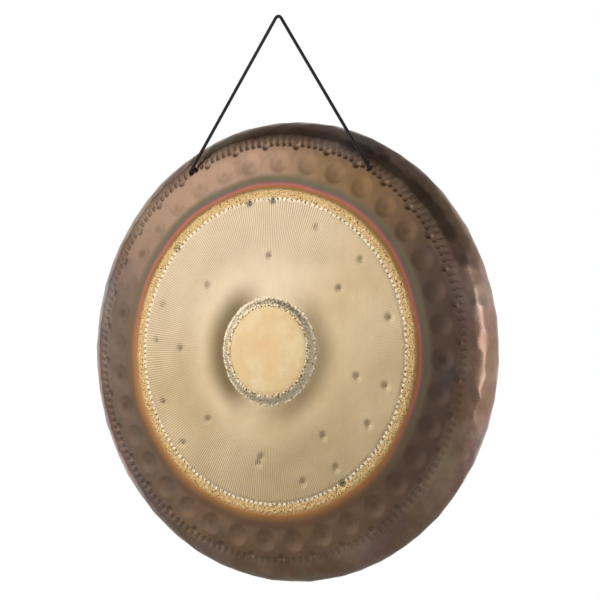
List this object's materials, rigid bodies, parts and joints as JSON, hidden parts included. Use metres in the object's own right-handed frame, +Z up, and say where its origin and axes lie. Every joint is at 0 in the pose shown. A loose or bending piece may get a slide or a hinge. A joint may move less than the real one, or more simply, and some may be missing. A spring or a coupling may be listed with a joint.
{
  "type": "symphonic gong",
  "caption": "Round gong of hammered bronze sheet with a raised centre and a turned-back rim, hanging by a knotted cord from a hook point.",
  "frame": {"origin": "underside of the top of the hanging cord, where a hook carries it", "axes": "+Z up, the struck face looks towards -Y, +X to the right of someone who faces it"},
  "size_m": [0.813, 0.0943, 0.9975],
  "materials": {
    "hammered_bronze": "hammered bronze: scored gold field, heat-coloured oxide ring and shoulder",
    "black_nylon": "twisted black nylon cord"
  },
  "bodies": {
    "cord": {"hanging_cord": "black_nylon"},
    "gong": {"gong_shell": "hammered_bronze", "left_knot": "black_nylon", "right_knot": "black_nylon"}
  },
  "joints": [
    {"name": "gong_swing", "type": "hinge", "parent": "cord", "child": "gong", "pos_m": [0, 0, -0.267], "axis": [-1, 0, 0], "range_deg": [-5, 90]}
  ]
}
